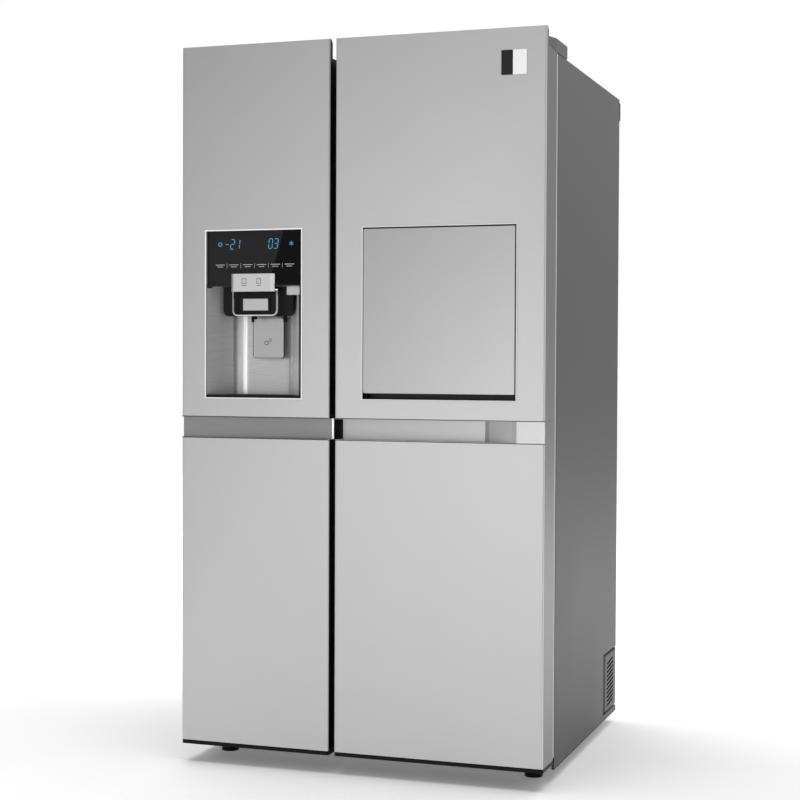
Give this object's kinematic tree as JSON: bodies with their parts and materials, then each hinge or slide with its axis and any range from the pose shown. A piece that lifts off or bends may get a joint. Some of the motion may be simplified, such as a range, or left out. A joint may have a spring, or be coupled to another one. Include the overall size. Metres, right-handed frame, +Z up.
{
  "type": "side by side refrigerator",
  "caption": "Tall side by side refrigerator: freezer door with an ice and water dispenser, fridge door with a drop-down home bar, recessed handle band.",
  "frame": {"origin": "on the floor, under the middle of the overall box of the closed refrigerator", "axes": "+Z up, the doors face -Y, +X is to the right of someone facing the doors"},
  "size_m": [0.935, 0.858, 1.79],
  "materials": {
    "steel_front": "satin",
    "side_paint": "satin",
    "zinc_steel": "satin",
    "white_plastic": "satin",
    "foam": "matte",
    "silver_trim": "satin",
    "grey_plastic": "matte",
    "black_plastic": "matte",
    "black_steel": "satin",
    "coil_aluminium": "satin",
    "clear_plastic": "gloss",
    "shelf_glass": "gloss",
    "gasket_rubber": "matte",
    "display_glass": "gloss",
    "chrome_wire": "polished"
  },
  "bodies": {
    "cabinet": {"cabinet_shell": "side_paint", "rear_panel": "zinc_steel", "cabinet_insulation": "foam", "freezer_liner": "white_plastic", "fridge_liner": "white_plastic", "mullion_strip": "silver_trim", "base_frame": "zinc_steel", "machine_cover": "zinc_steel", "side_vent": "grey_plastic", "compressor": "black_steel", "condenser_coil": "black_steel", "power_inlet": "black_plastic", "rear_spacer_left": "black_plastic", "rear_spacer_right": "black_plastic", "top_hinge_left": "zinc_steel", "top_hinge_right": "zinc_steel", "hinge_cover_left": "grey_plastic", "hinge_cover_right": "grey_plastic", "bottom_hinge_left": "zinc_steel", "bottom_hinge_right": "zinc_steel", "evaporator_cover": "white_plastic", "evaporator": "coil_aluminium", "ice_maker": "white_plastic", "ice_bucket": "clear_plastic", "freezer_shelf": "shelf_glass", "freezer_drawer_upper": "clear_plastic", "freezer_drawer_lower": "clear_plastic", "fridge_shelf_upper": "shelf_glass", "fridge_shelf_lower": "shelf_glass", "crisper_drawer_upper": "clear_plastic", "crisper_drawer_lower": "clear_plastic"},
    "condenser_fan": {"condenser_fan": "grey_plastic"},
    "front_foot_left": {"front_foot_left": "black_plastic"},
    "front_foot_right": {"front_foot_right": "black_plastic"},
    "rear_roller_left": {"rear_roller_left": "black_plastic"},
    "rear_roller_right": {"rear_roller_right": "black_plastic"},
    "freezer_door": {"freezer_door_core": "white_plastic", "freezer_panel_upper": "steel_front", "freezer_panel_lower": "steel_front", "freezer_handle_pan": "silver_trim", "freezer_bottom_cap": "black_plastic", "freezer_gasket": "gasket_rubber", "freezer_door_bin_upper": "clear_plastic", "freezer_door_bin_lower": "clear_plastic", "dispenser_alcove": "silver_trim", "dispenser_display": "display_glass", "dispenser_spout": "black_plastic", "dispenser_key_block": "silver_trim"},
    "water_lever": {"water_lever": "chrome_wire"},
    "ice_lever": {"ice_lever": "silver_trim"},
    "drip_tray": {"drip_tray": "black_plastic"},
    "fridge_door": {"fridge_door_core": "white_plastic", "fridge_panel_upper": "steel_front", "fridge_panel_lower": "steel_front", "fridge_handle_pan": "silver_trim", "fridge_bottom_cap": "black_plastic", "fridge_gasket": "gasket_rubber", "fridge_door_bin": "clear_plastic", "homebar_case": "white_plastic"},
    "homebar_door": {"homebar_door": "steel_front"}
  },
  "joints": [
    {"name": "freezer_door_hinge", "type": "hinge", "parent": "cabinet", "child": "freezer_door", "pos_m": [-0.4375, -0.368, 0.9], "axis": [0, 0, -1], "range_deg": [0, 110]},
    {"name": "fridge_door_hinge", "type": "hinge", "parent": "cabinet", "child": "fridge_door", "pos_m": [0.4375, -0.368, 0.9], "axis": [0, 0, 1], "range_deg": [0, 110]},
    {"name": "homebar_flap_hinge", "type": "hinge", "parent": "fridge_door", "child": "homebar_door", "pos_m": [0.2055, -0.413, 0.944], "axis": [1, 0, 0], "range_deg": [0, 90]},
    {"name": "water_lever_pivot", "type": "hinge", "parent": "freezer_door", "child": "water_lever", "pos_m": [-0.2745, -0.415, 1.186], "axis": [1, 0, 0], "range_deg": [0, 12], "stiffness_Nm_per_rad": 0.2},
    {"name": "ice_lever_pivot", "type": "hinge", "parent": "freezer_door", "child": "ice_lever", "pos_m": [-0.26, -0.3585, 1.114], "axis": [1, 0, 0], "range_deg": [0, 10], "stiffness_Nm_per_rad": 0.4},
    {"name": "drip_tray_slide", "type": "slide", "parent": "freezer_door", "child": "drip_tray", "axis": [0, -1, 0], "range_m": [0, 0.08]},
    {"name": "condenser_fan_spin", "type": "hinge", "parent": "cabinet", "child": "condenser_fan", "pos_m": [0.19, 0.291, 0.146], "axis": [1, 0, 0], "continuous": true},
    {"name": "front_foot_left_screw", "type": "hinge", "parent": "cabinet", "child": "front_foot_left", "pos_m": [-0.4055, -0.27, 0.01], "axis": [0, 0, 1], "continuous": true},
    {"name": "front_foot_right_screw", "type": "hinge", "parent": "cabinet", "child": "front_foot_right", "pos_m": [0.4055, -0.27, 0.01], "axis": [0, 0, 1], "continuous": true},
    {"name": "rear_roller_left_spin", "type": "hinge", "parent": "cabinet", "child": "rear_roller_left", "pos_m": [-0.3925, 0.324, 0.02], "axis": [1, 0, 0], "continuous": true},
    {"name": "rear_roller_right_spin", "type": "hinge", "parent": "cabinet", "child": "rear_roller_right", "pos_m": [0.3925, 0.324, 0.02], "axis": [1, 0, 0], "continuous": true}
  ]
}
